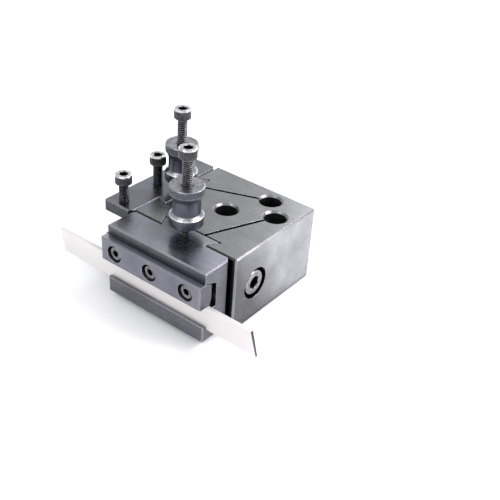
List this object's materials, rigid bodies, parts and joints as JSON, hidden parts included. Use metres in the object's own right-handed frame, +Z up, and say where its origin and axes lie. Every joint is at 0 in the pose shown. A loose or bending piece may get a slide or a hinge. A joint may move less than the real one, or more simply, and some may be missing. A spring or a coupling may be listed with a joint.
{
  "type": "quick change tool post",
  "caption": "Quick change tool post for a small lathe: slit dovetail block, parting-blade holder and turning-tool holder with knurled height nuts.",
  "frame": {"origin": "on the axis of the stud bore, at the block's base face", "axes": "+Z up along the stud bore; +X out of the face with the visible jaw screw; -Y out of the face that carries the parting holder; -X out of the face that carries the turning holder"},
  "size_m": [0.125, 0.0849, 0.0857],
  "materials": {
    "blued_block": "ground faces, oxide blued, broken bright edges",
    "black_screw": "black oxide, knurled heads",
    "blued_holder": "ground and oxide blued",
    "blued_bar": "oxide blued, satin",
    "bright_blade": "bright ground high-speed steel",
    "height_screw": "black oxide, rolled thread",
    "blued_nut": "turned, knurled and oxide blued"
  },
  "bodies": {
    "post": {"post_block": "blued_block"},
    "jaw_screw_right": {"jaw_screw_right": "black_screw"},
    "jaw_screw_back": {"jaw_screw_back": "black_screw"},
    "parting_nut": {"parting_height_nut": "blued_nut"},
    "parting_holder": {"parting_holder_body": "blued_holder", "parting_height_screw": "height_screw"},
    "clamp_bar": {"blade_clamp_bar": "blued_bar"},
    "blade_screw_1": {"blade_clamp_screw_1": "black_screw"},
    "blade_screw_2": {"blade_clamp_screw_2": "black_screw"},
    "blade_screw_3": {"blade_clamp_screw_3": "black_screw"},
    "blade": {"parting_blade": "bright_blade"},
    "turning_nut": {"turning_height_nut": "blued_nut"},
    "turning_holder": {"turning_holder_body": "blued_holder", "turning_height_screw": "height_screw"},
    "tool_screw_1": {"tool_clamp_screw_1": "black_screw"},
    "tool_screw_2": {"tool_clamp_screw_2": "black_screw"},
    "tool_screw_3": {"tool_clamp_screw_3": "black_screw"}
  },
  "joints": [
    {"name": "jaw_screw_right_turn", "type": "hinge", "parent": "post", "child": "jaw_screw_right", "pos_m": [0.03175, -0.01585, 0.02065], "axis": [1, 0, 0], "range_deg": [0, 180]},
    {"name": "jaw_screw_back_turn", "type": "hinge", "parent": "post", "child": "jaw_screw_back", "pos_m": [-0.01585, 0.03175, 0.02065], "axis": [0, 1, 0], "range_deg": [0, 180]},
    {"name": "parting_holder_lift", "type": "slide", "parent": "post", "child": "parting_nut", "axis": [0, 0, 1], "range_m": [-0.0055, 0.045]},
    {"name": "parting_height_set", "type": "slide", "parent": "parting_nut", "child": "parting_holder", "axis": [0, 0, 1], "range_m": [-0.0134, 0.0055]},
    {"name": "clamp_bar_release", "type": "slide", "parent": "parting_holder", "child": "clamp_bar", "axis": [0, -1, 0], "range_m": [0, 0.0014]},
    {"name": "blade_slide", "type": "slide", "parent": "parting_holder", "child": "blade", "axis": [1, 0, 0], "range_m": [-0.025, 0.025]},
    {"name": "turning_holder_lift", "type": "slide", "parent": "post", "child": "turning_nut", "axis": [0, 0, 1], "range_m": [-0.0055, 0.045]},
    {"name": "turning_height_set", "type": "slide", "parent": "turning_nut", "child": "turning_holder", "axis": [0, 0, 1], "range_m": [-0.0131, 0.0055]},
    {"name": "blade_screw_1_turn", "type": "hinge", "parent": "clamp_bar", "child": "blade_screw_1", "pos_m": [-0.02405, -0.04825, 0.0293], "axis": [0, -1, 0], "range_deg": [0, 730]},
    {"name": "blade_screw_2_turn", "type": "hinge", "parent": "clamp_bar", "child": "blade_screw_2", "pos_m": [-0.00195, -0.04825, 0.0293], "axis": [0, -1, 0], "range_deg": [0, 730]},
    {"name": "blade_screw_3_turn", "type": "hinge", "parent": "clamp_bar", "child": "blade_screw_3", "pos_m": [0.02015, -0.04825, 0.0293], "axis": [0, -1, 0], "range_deg": [0, 730]},
    {"name": "tool_screw_1_drive", "type": "slide", "parent": "turning_holder", "child": "tool_screw_1", "axis": [0, 0, 1], "range_m": [-0.0097, 0.002]},
    {"name": "tool_screw_2_drive", "type": "slide", "parent": "turning_holder", "child": "tool_screw_2", "axis": [0, 0, 1], "range_m": [-0.0114, 0.002]},
    {"name": "tool_screw_3_drive", "type": "slide", "parent": "turning_holder", "child": "tool_screw_3", "axis": [0, 0, 1], "range_m": [-0.0104, 0.002]}
  ],
  "couplings": [
    {"joint": "blade_screw_1_turn", "follows": "clamp_bar_release", "rad_per_m": 8976},
    {"joint": "blade_screw_2_turn", "follows": "clamp_bar_release", "rad_per_m": 8976},
    {"joint": "blade_screw_3_turn", "follows": "clamp_bar_release", "rad_per_m": 8976}
  ]
}
